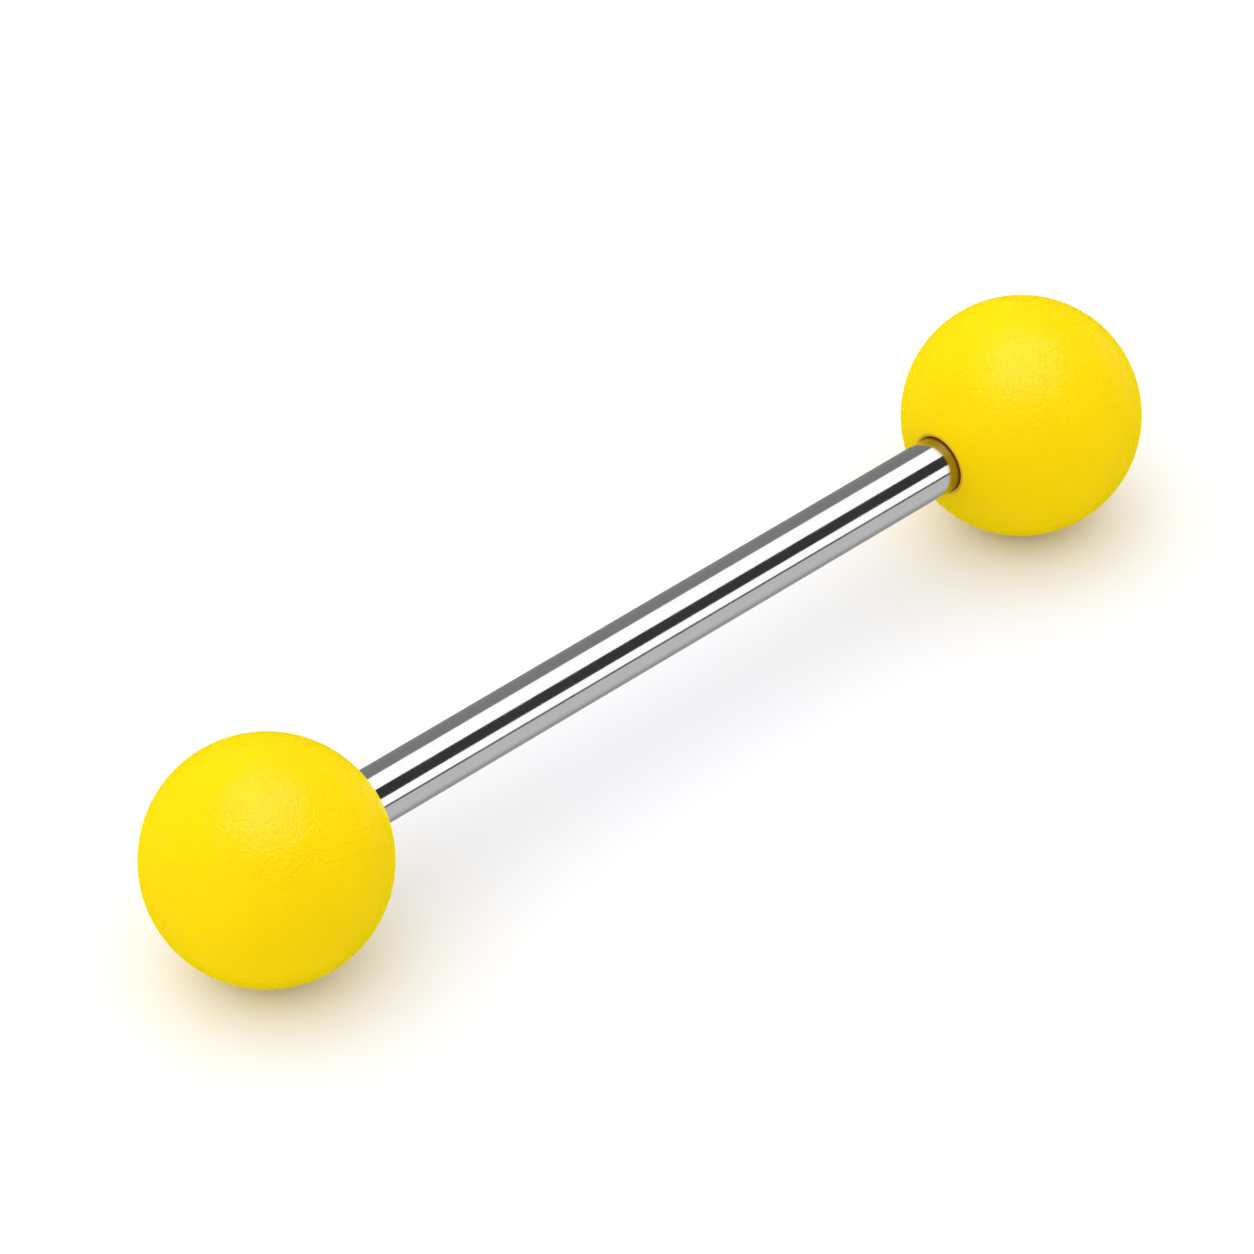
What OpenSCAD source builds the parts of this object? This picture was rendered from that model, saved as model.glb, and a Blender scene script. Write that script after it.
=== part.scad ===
// Tongue barbell: a polished round bar with a screw-on ball at each end, lying on its two balls.
// Sizes are in millimetres. X runs along the bar, Z is up, and the origin is on the surface
// that the balls rest on, under the middle of the bar.

/* [Bar] */
// Diameter of the polished bar
bar_d = 1.2; // [1:0.1:1.6]
// Length of bar that shows between the mouths of the two balls
wearing_length = 16; // [10:1:24]
// How far the full width of the bar reaches into each ball
shoulder_depth = 0.35; // [0.2:0.05:0.6]

/* [Screw posts] */
// How far each post is set in from the side of the bar
post_step = 0.03; // [0.02:0.01:0.15]
// Length of each post beyond the shoulder of the bar
post_length = 2.6; // [1.6:0.1:2.8]
// Chamfer round the tip of each post
post_chamfer = 0.12; // [0.05:0.01:0.3]

/* [Balls] */
// Diameter of each ball
ball_d = 5; // [4.5:0.1:8]
// Countersink round the mouth of each ball
mouth_flare = 0.03; // [0.01:0.01:0.2]
// Room that the straight hole leaves past the tip of the post
tip_room = 0.15; // [0.05:0.05:0.2]
// Full angle of the drill point at the bottom of the hole
drill_angle = 118; // [110:1:140]

/* [Fits] */
// Gap round the bar and round the post, inside a ball
running_gap = 0.01; // [0.01:0.01:0.05]
// Gap between the shoulder of the bar and its seat in a ball
seat_gap = 0.02; // [0.01:0.01:0.1]

/* [Hidden] */
$fn = 128;

// Radii
bar_r = bar_d / 2;
post_r = bar_r - post_step;
ball_r = ball_d / 2;
seat_r = bar_r + running_gap;
hole_r = post_r + running_gap;
mouth_r = seat_r + mouth_flare;

// Places along the bar, measured from its middle
mouth_x = wearing_length / 2;
shoulder_x = mouth_x + shoulder_depth;
tip_x = shoulder_x + post_length;
ball_x = mouth_x + sqrt(ball_r * ball_r - mouth_r * mouth_r);

// How far the uncut skin of a ball would bulge out of its mouth
skin_bulge = ball_r - (ball_x - mouth_x);

// Depths inside a ball, measured from its mouth
seat_depth = shoulder_depth + seat_gap;
hole_depth = shoulder_depth + post_length + tip_room;
point_depth = hole_depth + hole_r / tan(drill_angle / 2);

// Half of the bar's outline as [radius, distance from the middle], shoulder to tip
bar_end = [
    [bar_r, shoulder_x],
    [post_r, shoulder_x],
    [post_r, tip_x - post_chamfer],
    [post_r - post_chamfer, tip_x],
    [0, tip_x],
];

// The hole's outline as [radius, depth from the mouth]: countersink, seat, straight hole, drill point.
// The countersink's slope runs on outwards, so that it cuts cleanly through the skin of the ball.
hole_outline = [
    [0, -2 * skin_bulge],
    [mouth_r + 2 * skin_bulge, -2 * skin_bulge],
    [seat_r, mouth_flare],
    [seat_r, seat_depth],
    [hole_r, seat_depth],
    [hole_r, hole_depth],
    [0, point_depth],
];

// The same outline on the other side of the bar's middle, listed from tip to shoulder
function mirrored(outline) =
    [for (i = [len(outline) - 1 : -1 : 0]) [outline[i][0], -outline[i][1]]];

// Lays what is made along +Z on the bar's axis, so that its heights run along +X. The half turn
// brings the seams of the round surfaces to the top, clear of where the balls rest.
module along_bar() {
    translate([0, 0, ball_r]) rotate([0, 90, 0]) rotate([0, 0, 180]) children();
}

// One piece of polished steel rod, turned down to a post at each end
module bar() {
    color([0.74, 0.74, 0.75])
        along_bar() rotate_extrude() polygon(concat(mirrored(bar_end), bar_end));
}

// A solid ball at +X, with a stepped blind hole that opens towards the middle of the bar
module ball() {
    color([0.99, 0.85, 0.03])
        along_bar() difference() {
            translate([0, 0, ball_x]) sphere(r = ball_r);
            translate([0, 0, mouth_x]) rotate_extrude() polygon(hole_outline);
        }
}

module right_ball() {
    ball();
}

module left_ball() {
    mirror([1, 0, 0]) ball();
}

bar();
left_ball();
right_ball();
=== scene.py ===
"""Tongue barbell: a polished steel bar with a yellow acrylic ball screwed on each end.

It lies on a pale table. The frame holds three turned pieces, and each is dressed here by a finer
turning of the same outline, with rounded edges and real threads. Lengths are in metres.
"""
import math

import bpy
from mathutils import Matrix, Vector


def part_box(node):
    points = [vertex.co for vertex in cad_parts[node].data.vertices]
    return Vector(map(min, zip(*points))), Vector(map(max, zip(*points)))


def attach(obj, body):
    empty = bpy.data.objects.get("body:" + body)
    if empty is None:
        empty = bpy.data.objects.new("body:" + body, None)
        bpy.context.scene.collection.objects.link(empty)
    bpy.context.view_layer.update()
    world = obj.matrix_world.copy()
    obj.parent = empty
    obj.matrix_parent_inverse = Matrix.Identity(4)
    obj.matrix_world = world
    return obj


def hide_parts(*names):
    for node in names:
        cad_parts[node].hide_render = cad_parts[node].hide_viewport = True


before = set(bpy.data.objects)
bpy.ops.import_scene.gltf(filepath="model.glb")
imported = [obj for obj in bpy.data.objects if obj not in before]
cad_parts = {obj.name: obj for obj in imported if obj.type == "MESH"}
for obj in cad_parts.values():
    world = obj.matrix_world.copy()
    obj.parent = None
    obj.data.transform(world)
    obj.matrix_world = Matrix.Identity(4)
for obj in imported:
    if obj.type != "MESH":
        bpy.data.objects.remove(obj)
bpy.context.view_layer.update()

MM = 0.001

# Reading the frame
TOUCH = 0.001 * MM  # closer than this, two places are one
ROUNDING = 2 * TOUCH  # how far two readings of one place may differ
FACET_DIP = 3 * TOUCH  # how far the frame's facets may dip below the true skin of a ball

# Turning
STEPS_ROUND = 144  # facets round each piece
SKIN_STEP = math.radians(1.6)  # angle between the rings of a ball's skin
LONG_STEP = 0.25 * MM  # longest stretch between two rings elsewhere
STEP_SLACK = 0.01  # share of a step that a stretch may run over before it gets one more ring
EYE = 0.1 * MM  # radius of the circle that the lathe sweeps an outline round
WELD = TOUCH / 10  # closer than this, the points of a turned piece are joined

# Edges
EDGE_STEPS = 4  # facets across a rounded edge
BAR_EDGE = 0.02 * MM
BALL_EDGE = 0.015 * MM

# Threads. The land is the wall of the post or the hole before the thread is cut.
PITCH = 0.25 * MM
RINGS_PER_PITCH = 14
THREAD_DEPTH = 0.14 * MM
CREST_TO_ROOT = 0.5  # in pitches, as the next two are
GROOVE_FROM = 0.08  # where the groove's side starts and ends, from the crest
GROOVE_TO = 0.38
PLAIN_NECK = 0.12 * MM  # plain post between the shoulder and the thread
RUN_OUT = 0.2 * MM  # length over which a thread fades in or out
CUTTER_REACH = 1.2  # what lies further out than this, in land radii, isn't cut
ON_AXIS = TOUCH / 1000  # stands in for a radius of zero

# Camera, fitted to the outlines of the balls and the bar in the photograph
CAMERA_AZIMUTH = math.radians(-43.35)
CAMERA_ELEVATION = math.radians(38.5)
CAMERA_DISTANCE = 162.7 * MM  # from the middle of the bar
CAMERA_RIGHT = -0.598 * MM  # how far it aims beside the middle of the bar
CAMERA_UP = 0.065 * MM  # and above it
LENS = 233.0  # millimetres, on a sensor 36 mm wide
SENSOR = 36.0
NEAREST = 1 * MM  # what the camera sees starts and ends here
FARTHEST = 100.0

# In both finishes a scale is in waves to the millimetre, and a spread says between which values
# of a noise the tone or the roughness changes.

# Steel: two tones that drift into each other, under polishing rings and a haze
STEEL_DARK = (0.50, 0.50, 0.505, 1)
STEEL_LIGHT = (0.56, 0.56, 0.56, 1)
RING_SCALE = 1.0
RING_STRETCH = (40, 0.5, 0.5)  # close along the bar, long round it
RING_SPREAD = (0.3, 0.7)
RING_ROUGHNESS = (0.0, 0.03)  # added to that of the haze
RING_DEPTH = 0.0002  # millimetres
RING_STRENGTH = 0.3
HAZE_SCALE = 0.8
HAZE_SPREAD = (0.35, 0.7)
HAZE_ROUGHNESS = (0.065, 0.1)

# Painted shade where the bar goes into the far ball. It darkens the ball's reflection on the bar and
# the lip of the ball. Its reaches are in millimetres, along the bar or out over the lip from the edge of
# the mouth.
PAINTED_SHADE_ON_STEEL = (0.76, 0.58, 0.34, 1)
PAINTED_SHADE_ON_ACRYLIC = (0.66, 0.40, 0.03, 1)
PAINTED_SHADE_STARTS = 0.34  # along the bar, before the mouth
PAINTED_SHADE_FULL = 0.18
PAINTED_SHADE_FADE = 0.1  # inside the ball, past the lip
LIP_SHADE_FULL = 0.035  # out over the lip
LIP_SHADE_ENDS = 0.06

# Acrylic: two tones of the same yellow, under fine orange peel and slow swells
YELLOW_DEEP = (0.79, 0.575, 0.001, 1)
YELLOW_LIGHT = (0.82, 0.6, 0.0015, 1)
CLOUD_SCALE = 0.45
CLOUD_SPREAD = (0.3, 0.7)
PEEL_SCALE = 7.5
PEEL_WARP = 1.4  # how much its grain winds about
PEEL_SPREAD = (0.35, 0.65)
PEEL_ROUGHNESS = (0.14, 0.32)
PEEL_DEPTH = 0.026  # millimetres, on the upper side of the balls, where the photograph shows it
PEEL_FAINT = 0.3  # share of that depth lower down
PEEL_FAINT_BELOW = 3.0  # millimetres above the table
PEEL_FULL_ABOVE = 4.0
SWELL_SCALE = 0.9
SWELL_DEPTH = 0.01  # millimetres
ACRYLIC_IOR = 1.49
ACRYLIC_SPECULAR = 0.04
ACRYLIC_MATTNESS = 0.4  # of the colour under the gloss
RIM_SHEEN = 1.0  # brightens the rim of each ball
RIM_ROUGHNESS = 0.3
RIM_TINT = (1.0, 0.84, 0.0, 1)

# Studio
WHITE = (1, 1, 1, 1)
TABLE_TONE = (0.915, 0.92, 0.95, 1)
TABLE_HALF = 5.0  # half the length of its sides
WORLD_LEVEL = 1.38  # brightness of the white surroundings
WORLD_SHADE = 0.7  # how much darker they are at the right of the picture
SOFT_LIGHT = 0.85  # falls on the pieces alone, so that the table's shadows stay pale
SOFT_LIGHT_FROM = (0.2, 0.05, 1.0)
SOFT_LIGHT_WIDTH = math.radians(60)
GLEAM = 13.5  # seen in the acrylic alone, as its broad highlight
GLEAM_FROM = (-0.035, -0.011, 1.0)
GLEAM_WIDTH = math.radians(66)

# Cards round the bar, seen only in its reflections: name, from and to in degrees round the bar
# (0 is level on the far side, 90 overhead, 180 level on the near side), brightness
CARDS = [
    ("far_table", -48.0, 58.6, 0.332),
    ("overhead_softbox", 58.6, 112.3, 1.86),
    ("near_dark_flag", 112.3, 153.3, 0.057),
    ("near_softbox", 153.3, 184.0, 1.835),
    ("dark_gap", 184.0, 191.5, 0.12),
    ("near_table", 191.5, 244.0, 0.857),
    ("table_under_bar", 244.0, 260.0, 0.70),
    ("bar_shadow", 260.0, 312.0, 0.45),
]
CARD_RADIUS = 500 * MM
CARD_HALF_LENGTH = 1500 * MM
CARD_STEPS = 12

# Sockets of a Mix node that mixes colours, which shares their names with its other kinds
MIX_A = 6
MIX_B = 7
MIX_RESULT = 2

# The bar's axis, level above the table
bar_low, bar_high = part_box("bar")
AXIS_Z = (bar_low.z + bar_high.z) / 2


def turned_corners(node):
    """The (x, r) corners of a turned CAD piece, r measured from the bar's axis."""
    places = {
        (round(v.co.x / TOUCH), round(math.hypot(v.co.y, v.co.z - AXIS_Z) / TOUCH))
        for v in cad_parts[node].data.vertices
    }
    return sorted((x * TOUCH, r * TOUCH) for x, r in places)


# The bar, read from the frame
bar_corners = [(x, r) for x, r in turned_corners("bar") if x > 0]
BAR_R = max(r for x, r in bar_corners)
SHOULDER_X = max(x for x, r in bar_corners if r > BAR_R - TOUCH)
POST_R = max(r for x, r in bar_corners if x > SHOULDER_X + TOUCH)
CHAMFER_X = max(x for x, r in bar_corners if r > POST_R - TOUCH)
TIP_X = max(x for x, r in bar_corners)
TIP_R = max(r for x, r in bar_corners if x > TIP_X - TOUCH)

# The ball at +X, read from the frame. Its skin is a circle through its pole and its widest corner,
# and runs from the pole to the mouth.
ball_corners = turned_corners("right_ball")
POLE_X = ball_corners[-1][0]
MOUTH_X = ball_corners[0][0]
wide_x, wide_r = max(ball_corners, key=lambda corner: corner[1])
BALL_R = ((POLE_X - wide_x) ** 2 + wide_r**2) / (2 * (POLE_X - wide_x))
BALL_X = POLE_X - BALL_R
MOUTH_R = math.sqrt(BALL_R**2 - (BALL_X - MOUTH_X) ** 2)
hole_corners = [(x, r) for x, r in ball_corners if math.hypot(x - BALL_X, r) < BALL_R - FACET_DIP]
SEAT_R = max(r for x, r in hole_corners)
FLARE_X = min(x for x, r in hole_corners)
SEAT_X = max(x for x, r in hole_corners if r > SEAT_R - ROUNDING)
HOLE_R = max(r for x, r in hole_corners if x > SEAT_X + TOUCH)
HOLE_X = max(x for x, r in hole_corners if r > HOLE_R - ROUNDING)
POINT_X = max(x for x, r in hole_corners)


def rounded(corners, edge):
    """The outline with a short arc at each inner corner, from edge before the corner to edge past it."""
    points = [corners[0]]
    for before, corner, after in zip(corners, corners[1:], corners[2:]):
        here, a, b = Vector(corner), Vector(before), Vector(after)
        reach_a = min(edge, (a - here).length / 2)
        reach_b = min(edge, (b - here).length / 2)
        start = here + (a - here).normalized() * reach_a
        end = here + (b - here).normalized() * reach_b
        for step in range(EDGE_STEPS + 1):
            t = step / EDGE_STEPS
            points.append(tuple(start * (1 - t) ** 2 + here * 2 * t * (1 - t) + end * t**2))
    return points + [corners[-1]]


def with_rings(points, longest):
    """The outline, divided so that no two rings are further apart than longest(x)."""
    result = [points[0]]
    for (x0, r0), (x1, r1) in zip(points, points[1:]):
        steps = math.hypot(x1 - x0, r1 - r0) / longest((x0 + x1) / 2)
        parts = max(1, math.ceil(steps - STEP_SLACK))
        for part in range(1, parts + 1):
            t = part / parts
            result.append((x0 + (x1 - x0) * t, r0 + (r1 - r0) * t))
    return result


def mirrored(points):
    """The outline at the other end of the bar, in the order that keeps its faces outwards."""
    return [(-x, r) for x, r in reversed(points)]


def ring_spacing(x):
    """Close rings where a thread is, and wide ones elsewhere."""
    return PITCH / RINGS_PER_PITCH if abs(x) > SHOULDER_X + BAR_EDGE else LONG_STEP


def bar_outline():
    """From the tip at +X to the tip at -X: chamfer, post, shoulder, shaft, and the same again."""
    end = [(TIP_X, 0), (TIP_X, TIP_R), (CHAMFER_X, POST_R), (SHOULDER_X, POST_R), (SHOULDER_X, BAR_R)]
    return with_rings(rounded(end + mirrored(end), BAR_EDGE), ring_spacing)


def ball_outline():
    """From the pole over the skin to the mouth, then in through the countersink to the drill point."""
    mouth_angle = math.atan2(MOUTH_R, MOUTH_X - BALL_X)
    steps = round(mouth_angle / SKIN_STEP)
    angles = [mouth_angle * step / steps for step in range(1, steps)]
    skin = [(BALL_X + BALL_R * math.cos(angle), BALL_R * math.sin(angle)) for angle in angles]
    hole = [
        (MOUTH_X, MOUTH_R),
        (FLARE_X, SEAT_R),
        (SEAT_X, SEAT_R),
        (SEAT_X, HOLE_R),
        (HOLE_X, HOLE_R),
        (POINT_X, 0),
    ]
    inside = with_rings(rounded([skin[-1]] + hole, BALL_EDGE), ring_spacing)
    return [(POLE_X, 0)] + skin + inside[1:]


def feed(tree, socket, value):
    """Gives an input a plain value, or links another node's output to it."""
    if isinstance(value, bpy.types.NodeSocket):
        tree.links.new(value, socket)
    else:
        socket.default_value = value


def add(tree, kind, settings=None, **inputs):
    """Adds a node. Inputs go by their own names, with _ for a space."""
    node = tree.nodes.new(kind)
    for name, value in (settings or {}).items():
        setattr(node, name, value)
    for name, value in inputs.items():
        feed(tree, node.inputs[name.replace("_", " ")], value)
    return node


def arithmetic(tree, operation, a, b=0.0):
    """One step of arithmetic on two numbers. A root or an absolute value reads only the first."""
    node = add(tree, "ShaderNodeMath", {"operation": operation})
    feed(tree, node.inputs[0], a)
    feed(tree, node.inputs[1], b)
    return node.outputs[0]


def product(tree, first, *others):
    """All the numbers multiplied."""
    for other in others:
        first = arithmetic(tree, "MULTIPLY", first, other)
    return first


def total(tree, a, b):
    """Two numbers added."""
    return arithmetic(tree, "ADD", a, b)


def faded(tree, value, low, high, to_low=0.0, to_high=1.0):
    """Takes value smoothly from to_low at low to to_high at high."""
    node = add(tree, "ShaderNodeMapRange", {"interpolation_type": "SMOOTHSTEP"}, Value=value)
    limits = {"From Min": low, "From Max": high, "To Min": to_low, "To Max": to_high}
    for name, limit in limits.items():
        feed(tree, node.inputs[name], limit)
    return node.outputs[0]


def mixed_colour(tree, factor, a, b, blend="MIX"):
    """Colour a, with as much of colour b blended in as factor says."""
    node = add(tree, "ShaderNodeMix", {"data_type": "RGBA", "blend_type": blend}, Factor=factor)
    feed(tree, node.inputs[MIX_A], a)
    feed(tree, node.inputs[MIX_B], b)
    return node.outputs[MIX_RESULT]


LATHE_INPUTS = {
    "Outline": "NodeSocketGeometry",
    "Steps Round": "NodeSocketInt",
    "Eye": "NodeSocketFloat",
    "Axis Height": "NodeSocketFloat",
    "Thread From": "NodeSocketFloat",
    "Thread To": "NodeSocketFloat",
    "Run Out": "NodeSocketFloat",
    "Pitch": "NodeSocketFloat",
    "Land Radius": "NodeSocketFloat",
    "Depth": "NodeSocketFloat",
    "Cut Side": "NodeSocketFloat",
    "Material": "NodeSocketMaterial",
}


def turning(tree, given):
    """Sweeps the outline round the bar's axis into a closed smooth piece."""
    outline = add(tree, "GeometryNodeMeshToCurve", Mesh=given["Outline"])
    eye = add(
        tree,
        "GeometryNodeCurvePrimitiveCircle",
        Resolution=given["Steps Round"],
        Radius=given["Eye"],
    )
    swept = add(
        tree,
        "GeometryNodeCurveToMesh",
        Curve=eye.outputs["Curve"],
        Profile_Curve=outline.outputs["Curve"],
    )
    laid = add(
        tree,
        "GeometryNodeTransform",
        Geometry=swept.outputs["Mesh"],
        Translation=add(tree, "ShaderNodeCombineXYZ", Z=given["Axis Height"]).outputs[0],
        Rotation=(0, math.pi / 2, 0),
    )
    closed = add(
        tree,
        "GeometryNodeMergeByDistance",
        Geometry=laid.outputs["Geometry"],
        Distance=WELD,
    )
    smooth = add(tree, "GeometryNodeSetShadeSmooth", Geometry=closed.outputs["Geometry"])
    return smooth.outputs["Geometry"]


def thread_cut(tree, given, along, turns):
    """How deep the cutter goes at a place: a rounded groove in each pitch, which fades in and out."""
    from_crest = arithmetic(tree, "PINGPONG", turns, CREST_TO_ROOT)
    groove = faded(tree, from_crest, GROOVE_FROM, GROOVE_TO)
    full_from = total(tree, given["Thread From"], given["Run Out"])
    full_to = arithmetic(tree, "SUBTRACT", given["Thread To"], given["Run Out"])
    start = faded(tree, along, given["Thread From"], full_from)
    stop = faded(tree, along, full_to, given["Thread To"], 1.0, 0.0)
    return product(tree, groove, given["Depth"], start, stop)


def lathe_tree():
    """Turns an outline about the bar's axis, then cuts a right-hand thread into it.

    The outline lies in the XY plane: X is the radius less the eye, and -Y the place along the axis.
    Cut Side is -1 for a groove cut inwards into a post, and 1 for one cut outwards into a hole.
    """
    tree = bpy.data.node_groups.new("lathe and thread", "GeometryNodeTree")
    for name, kind in LATHE_INPUTS.items():
        tree.interface.new_socket(name=name, in_out="INPUT", socket_type=kind)
    tree.interface.new_socket(name="Piece", in_out="OUTPUT", socket_type="NodeSocketGeometry")
    given = add(tree, "NodeGroupInput").outputs
    turned = turning(tree, given)

    # Where each point is, round the axis and along it
    position = add(tree, "GeometryNodeInputPosition").outputs[0]
    place = add(tree, "ShaderNodeSeparateXYZ", Vector=position).outputs
    over = arithmetic(tree, "SUBTRACT", place["Z"], given["Axis Height"])
    square = total(tree, product(tree, place["Y"], place["Y"]), product(tree, over, over))
    radius = arithmetic(tree, "SQRT", square)
    along = arithmetic(tree, "ABSOLUTE", place["X"])
    pitches = arithmetic(tree, "DIVIDE", place["X"], given["Pitch"])
    angle = arithmetic(tree, "DIVIDE", arithmetic(tree, "ARCTAN2", over, place["Y"]), math.tau)
    cut = thread_cut(tree, given, along, arithmetic(tree, "SUBTRACT", pitches, angle))

    # The cutter only takes material away: it lowers a post and widens a hole
    side = given["Cut Side"]
    reached = total(tree, product(tree, side, given["Land Radius"]), cut)
    threaded = product(tree, side, arithmetic(tree, "MAXIMUM", product(tree, side, radius), reached))
    scale = arithmetic(tree, "DIVIDE", threaded, arithmetic(tree, "MAXIMUM", radius, ON_AXIS))
    moved = add(
        tree,
        "ShaderNodeCombineXYZ",
        X=place["X"],
        Y=product(tree, place["Y"], scale),
        Z=total(tree, given["Axis Height"], product(tree, over, scale)),
    )
    in_reach = product(
        tree,
        arithmetic(tree, "GREATER_THAN", along, given["Thread From"]),
        arithmetic(tree, "LESS_THAN", along, given["Thread To"]),
        arithmetic(tree, "LESS_THAN", radius, product(tree, given["Land Radius"], CUTTER_REACH)),
    )
    threads = add(
        tree,
        "GeometryNodeSetPosition",
        Geometry=turned,
        Selection=in_reach,
        Position=moved.outputs[0],
    )
    real = add(tree, "GeometryNodeRealizeInstances", Geometry=threads.outputs["Geometry"])
    finished = add(
        tree,
        "GeometryNodeSetMaterial",
        Geometry=real.outputs["Geometry"],
        Material=given["Material"],
    )
    add(tree, "NodeGroupOutput", Piece=finished.outputs["Geometry"])
    return tree


def turned_piece(name, outline, tree, **sizes):
    """Turns an outline with the lathe tree and returns the piece as a plain mesh object."""
    drawing = bpy.data.meshes.new(name + "_outline")
    points = [(r - EYE, -x, 0) for x, r in outline]
    drawing.from_pydata(points, [(i, i + 1) for i in range(len(points) - 1)], [])
    piece = bpy.data.objects.new(name, drawing)
    bpy.context.scene.collection.objects.link(piece)
    lathe = piece.modifiers.new("lathe", "NODES")
    lathe.node_group = tree
    sizes = {"Steps_Round": STEPS_ROUND, "Eye": EYE, "Axis_Height": AXIS_Z, **sizes}
    for socket in tree.interface.items_tree:
        key = socket.name.replace(" ", "_")
        if key in sizes:
            lathe[socket.identifier] = sizes[key]
    seen = bpy.context.evaluated_depsgraph_get()
    turned = bpy.data.meshes.new_from_object(piece.evaluated_get(seen), depsgraph=seen)
    piece.modifiers.clear()
    piece.data = turned
    turned.name = name
    bpy.data.meshes.remove(drawing)
    return piece


def new_material(name):
    """An empty principled material: (material, its tree, its shader)."""
    material = bpy.data.materials.new(name)
    material.use_nodes = True
    return material, material.node_tree, material.node_tree.nodes["Principled BSDF"]


def place_in_mm(tree, stretch=(1, 1, 1)):
    """The place on a piece in its own frame, in millimetres, stretched along each axis."""
    place = add(tree, "ShaderNodeTexCoord").outputs["Object"]
    return add(tree, "ShaderNodeMapping", Vector=place, Scale=[s / MM for s in stretch]).outputs[0]


def noise(tree, place, scale, detail, roughness=0.5, distortion=0.0):
    """Soft noise from 0 to 1, with scale waves to the millimetre."""
    node = add(
        tree,
        "ShaderNodeTexNoise",
        Vector=place,
        Scale=scale,
        Detail=detail,
        Roughness=roughness,
        Distortion=distortion,
    )
    return node.outputs["Fac"]


def painted_mouth_shade(tree):
    """1 where the painted shade of the joint with the far ball lies. It fades along the bar, inside the
    ball and on its lip.
    """
    mouth = MOUTH_X / MM
    place = add(tree, "ShaderNodeSeparateXYZ", Vector=place_in_mm(tree)).outputs
    starts = faded(tree, place["X"], mouth - PAINTED_SHADE_STARTS, mouth - PAINTED_SHADE_FULL)
    inside = mouth + LIP_SHADE_ENDS
    ends = faded(tree, place["X"], inside, inside + PAINTED_SHADE_FADE, 1.0, 0.0)
    over = arithmetic(tree, "SUBTRACT", place["Z"], AXIS_Z / MM)
    square = total(tree, product(tree, place["Y"], place["Y"]), product(tree, over, over))
    beyond = arithmetic(tree, "SUBTRACT", arithmetic(tree, "SQRT", square), MOUTH_R / MM)
    lip = faded(tree, beyond, LIP_SHADE_FULL, LIP_SHADE_ENDS, 1.0, 0.0)
    return product(tree, starts, ends, lip)


def polished_steel():
    """Surgical steel off the polishing wheel: close rings round the bar, and a faint uneven haze."""
    material, tree, shader = new_material("polished_steel")
    rings = noise(tree, place_in_mm(tree, RING_STRETCH), RING_SCALE, detail=3)
    haze = noise(tree, place_in_mm(tree), HAZE_SCALE, detail=4, roughness=0.6)
    tone = mixed_colour(tree, haze, STEEL_DARK, STEEL_LIGHT)
    # painted shade: the ball's reflection in the bar turns a darker brown near the far ball's mouth
    tone_with_shade = mixed_colour(tree, painted_mouth_shade(tree), tone, PAINTED_SHADE_ON_STEEL, "MULTIPLY")
    hazed = faded(tree, haze, *HAZE_SPREAD, *HAZE_ROUGHNESS)
    ringed = faded(tree, rings, *RING_SPREAD, *RING_ROUGHNESS)
    bump = add(tree, "ShaderNodeBump", Height=rings, Strength=RING_STRENGTH, Distance=RING_DEPTH * MM)
    feed(tree, shader.inputs["Base Color"], tone_with_shade)
    feed(tree, shader.inputs["Roughness"], total(tree, hazed, ringed))
    feed(tree, shader.inputs["Normal"], bump.outputs[0])
    shader.inputs["Metallic"].default_value = 1.0
    return material


def yellow_acrylic():
    """Opaque yellow acrylic: a satin skin with fine orange peel, slow swells and clouds of tone."""
    material, tree, shader = new_material("yellow_acrylic")
    place = place_in_mm(tree)
    peel = noise(tree, place, PEEL_SCALE, detail=1, distortion=PEEL_WARP)
    swell = noise(tree, place, SWELL_SCALE, detail=1)
    clouds = noise(tree, place, CLOUD_SCALE, detail=3, roughness=0.6)
    tone = mixed_colour(tree, faded(tree, clouds, *CLOUD_SPREAD), YELLOW_DEEP, YELLOW_LIGHT)
    height = add(tree, "ShaderNodeSeparateXYZ", Vector=place).outputs["Z"]
    depth = faded(tree, height, PEEL_FAINT_BELOW, PEEL_FULL_ABOVE, PEEL_FAINT, 1.0)
    fine = add(tree, "ShaderNodeBump", Height=peel, Strength=depth, Distance=PEEL_DEPTH * MM)
    broad = add(tree, "ShaderNodeBump", Height=swell, Distance=SWELL_DEPTH * MM, Normal=fine.outputs[0])
    # painted shade: the lip round the far ball's mouth is coloured a dark brown
    tone_with_shade = mixed_colour(tree, painted_mouth_shade(tree), tone, PAINTED_SHADE_ON_ACRYLIC)
    feed(tree, shader.inputs["Base Color"], tone_with_shade)
    feed(tree, shader.inputs["Roughness"], faded(tree, peel, *PEEL_SPREAD, *PEEL_ROUGHNESS))
    feed(tree, shader.inputs["Normal"], broad.outputs[0])
    shader.inputs["IOR"].default_value = ACRYLIC_IOR
    shader.inputs["Specular IOR Level"].default_value = ACRYLIC_SPECULAR
    shader.inputs["Diffuse Roughness"].default_value = ACRYLIC_MATTNESS
    shader.inputs["Sheen Weight"].default_value = RIM_SHEEN
    shader.inputs["Sheen Roughness"].default_value = RIM_ROUGHNESS
    shader.inputs["Sheen Tint"].default_value = RIM_TINT
    return material


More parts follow.
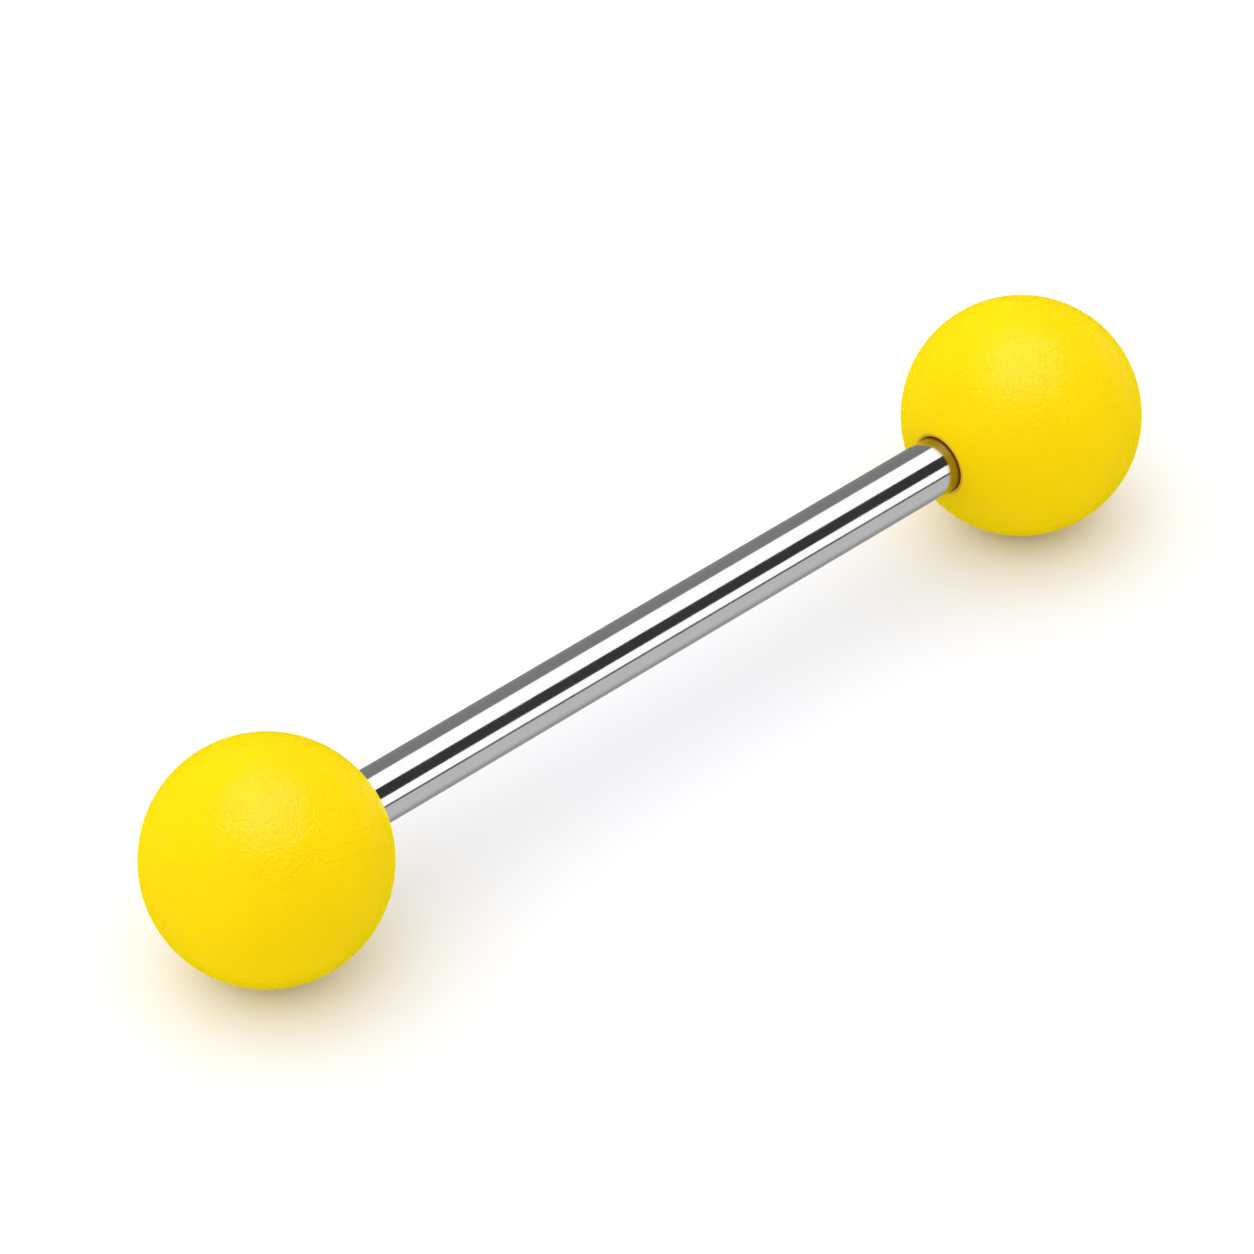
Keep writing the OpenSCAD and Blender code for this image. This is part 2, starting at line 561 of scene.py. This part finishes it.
def dressed_pieces():
    """The three turned pieces, each riding on its own body in place of its CAD node."""
    tree = lathe_tree()
    steel, acrylic = polished_steel(), yellow_acrylic()
    thread = {"Run_Out": RUN_OUT, "Pitch": PITCH, "Depth": THREAD_DEPTH}
    post_thread = {
        **thread,
        "Thread_From": SHOULDER_X + PLAIN_NECK,
        "Thread_To": TIP_X + RUN_OUT,
        "Land_Radius": POST_R,
        "Cut_Side": -1.0,
        "Material": steel,
    }
    hole_thread = {
        **thread,
        "Thread_From": SEAT_X,
        "Thread_To": HOLE_X,
        "Land_Radius": HOLE_R,
        "Cut_Side": 1.0,
        "Material": acrylic,
    }
    bar = turned_piece("polished_bar", bar_outline(), tree, **post_thread)
    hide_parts("bar")
    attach(bar, "bar")
    balls = []
    for side, outline in (("left", mirrored(ball_outline())), ("right", ball_outline())):
        ball = turned_piece(side + "_yellow_ball", outline, tree, **hole_thread)
        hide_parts(side + "_ball")
        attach(ball, side + "_ball")
        balls.append(ball)
    return [bar], balls


def camera():
    """A long lens at the photograph's angle, aimed close to the middle of the bar."""
    level = math.cos(CAMERA_ELEVATION)
    back_x = math.sin(CAMERA_AZIMUTH) * level
    back_y = -math.cos(CAMERA_AZIMUTH) * level
    back = Vector((back_x, back_y, math.sin(CAMERA_ELEVATION)))
    right = Vector((math.cos(CAMERA_AZIMUTH), math.sin(CAMERA_AZIMUTH), 0))
    aim = Vector((0, 0, AXIS_Z)) + right * CAMERA_RIGHT + back.cross(right) * CAMERA_UP
    lens = bpy.data.cameras.new("camera")
    lens.lens = LENS
    lens.sensor_width = SENSOR
    lens.clip_start = NEAREST
    lens.clip_end = FARTHEST
    view = bpy.data.objects.new("camera", lens)
    view.location = aim + back * CAMERA_DISTANCE
    view.rotation_mode = "QUATERNION"
    view.rotation_quaternion = (-back).to_track_quat("-Z", "Y")
    bpy.context.scene.collection.objects.link(view)
    bpy.context.scene.camera = view


def glowing(name, level):
    """A plain white glow of that brightness, for a reflection card."""
    material = bpy.data.materials.new(name)
    material.use_nodes = True
    tree = material.node_tree
    tree.nodes.clear()
    glow = add(tree, "ShaderNodeEmission", Color=WHITE, Strength=level)
    add(tree, "ShaderNodeOutputMaterial", Surface=glow.outputs[0])
    return material


def reflection_card(name, from_degrees, to_degrees, level, mirrors):
    """A curved card along the bar, far off, that only the steel mirrors."""
    points, faces = [], []
    for step in range(CARD_STEPS + 1):
        angle = math.radians(from_degrees + (to_degrees - from_degrees) * step / CARD_STEPS)
        for x in (-CARD_HALF_LENGTH, CARD_HALF_LENGTH):
            points.append((x, CARD_RADIUS * math.cos(angle), AXIS_Z + CARD_RADIUS * math.sin(angle)))
        if step:
            faces.append((2 * step - 2, 2 * step - 1, 2 * step + 1, 2 * step))
    mesh = bpy.data.meshes.new(name)
    mesh.from_pydata(points, [], faces)
    mesh.materials.append(glowing(name, level))
    card = bpy.data.objects.new(name, mesh)
    bpy.context.scene.collection.objects.link(card)
    card.visible_camera = False
    card.visible_diffuse = False
    card.visible_shadow = False
    card.visible_transmission = False
    card.light_linking.receiver_collection = mirrors


def table():
    """A wide pale table top, quite matt, that no piece mirrors."""
    corners = [(-1, -1), (1, -1), (1, 1), (-1, 1)]
    points = [(x * TABLE_HALF, y * TABLE_HALF, 0) for x, y in corners]
    mesh = bpy.data.meshes.new("pale_table")
    mesh.from_pydata(points, [], [(0, 1, 2, 3)])
    material, _, shader = new_material("pale_table")
    shader.inputs["Base Color"].default_value = TABLE_TONE
    shader.inputs["Roughness"].default_value = 1.0
    shader.inputs["Specular IOR Level"].default_value = 0.0
    mesh.materials.append(material)
    top = bpy.data.objects.new("pale_table", mesh)
    bpy.context.scene.collection.objects.link(top)
    top.visible_glossy = False


def soft_sun(name, direction, strength, width, lights, gleams):
    """A distant soft light from that direction, which lights surfaces, gleams in them, or does both."""
    light = bpy.data.lights.new(name, "SUN")
    light.energy = strength
    light.angle = width
    lamp = bpy.data.objects.new(name, light)
    lamp.rotation_mode = "QUATERNION"
    lamp.rotation_quaternion = Vector(direction).to_track_quat("Z", "Y")
    lamp.visible_diffuse = lights
    lamp.visible_glossy = gleams
    bpy.context.scene.collection.objects.link(lamp)
    return lamp


def white_surroundings():
    """An even white world, which darkens towards the right of the picture."""
    scene = bpy.context.scene
    scene.view_settings.view_transform = "Standard"
    scene.world = bpy.data.worlds.new("white_studio")
    scene.world.use_nodes = True
    tree = scene.world.node_tree
    leftwards = add(tree, "ShaderNodeVectorMath", {"operation": "DOT_PRODUCT"})
    feed(tree, leftwards.inputs[0], add(tree, "ShaderNodeTexCoord").outputs["Generated"])
    feed(tree, leftwards.inputs[1], (-math.cos(CAMERA_AZIMUTH), -math.sin(CAMERA_AZIMUTH), 0))
    rightwards = arithmetic(tree, "MINIMUM", leftwards.outputs["Value"], 0.0)
    level = total(tree, product(tree, rightwards, WORLD_SHADE), WORLD_LEVEL)
    background = tree.nodes["Background"]
    feed(tree, background.inputs["Color"], WHITE)
    feed(tree, background.inputs["Strength"], level)


def receivers(name, pieces):
    """A collection of the pieces that a light or a card is meant for."""
    collection = bpy.data.collections.new(name)
    for piece in pieces:
        collection.objects.link(piece)
    return collection


def studio(steel_pieces, acrylic_pieces):
    """White surroundings, a soft light, the gleam in the balls, and the cards that the steel mirrors."""
    white_surroundings()
    light = soft_sun(
        "overhead_light", SOFT_LIGHT_FROM, SOFT_LIGHT, SOFT_LIGHT_WIDTH, lights=True, gleams=False
    )
    light.light_linking.receiver_collection = receivers("turned_pieces", steel_pieces + acrylic_pieces)
    gleam = soft_sun("overhead_gleam", GLEAM_FROM, GLEAM, GLEAM_WIDTH, lights=False, gleams=True)
    gleam.light_linking.receiver_collection = receivers("acrylic_pieces", acrylic_pieces)
    mirrors = receivers("steel_pieces", steel_pieces)
    for card in CARDS:
        reflection_card(*card, mirrors)
    table()


camera()
steel_pieces, acrylic_pieces = dressed_pieces()
studio(steel_pieces, acrylic_pieces)
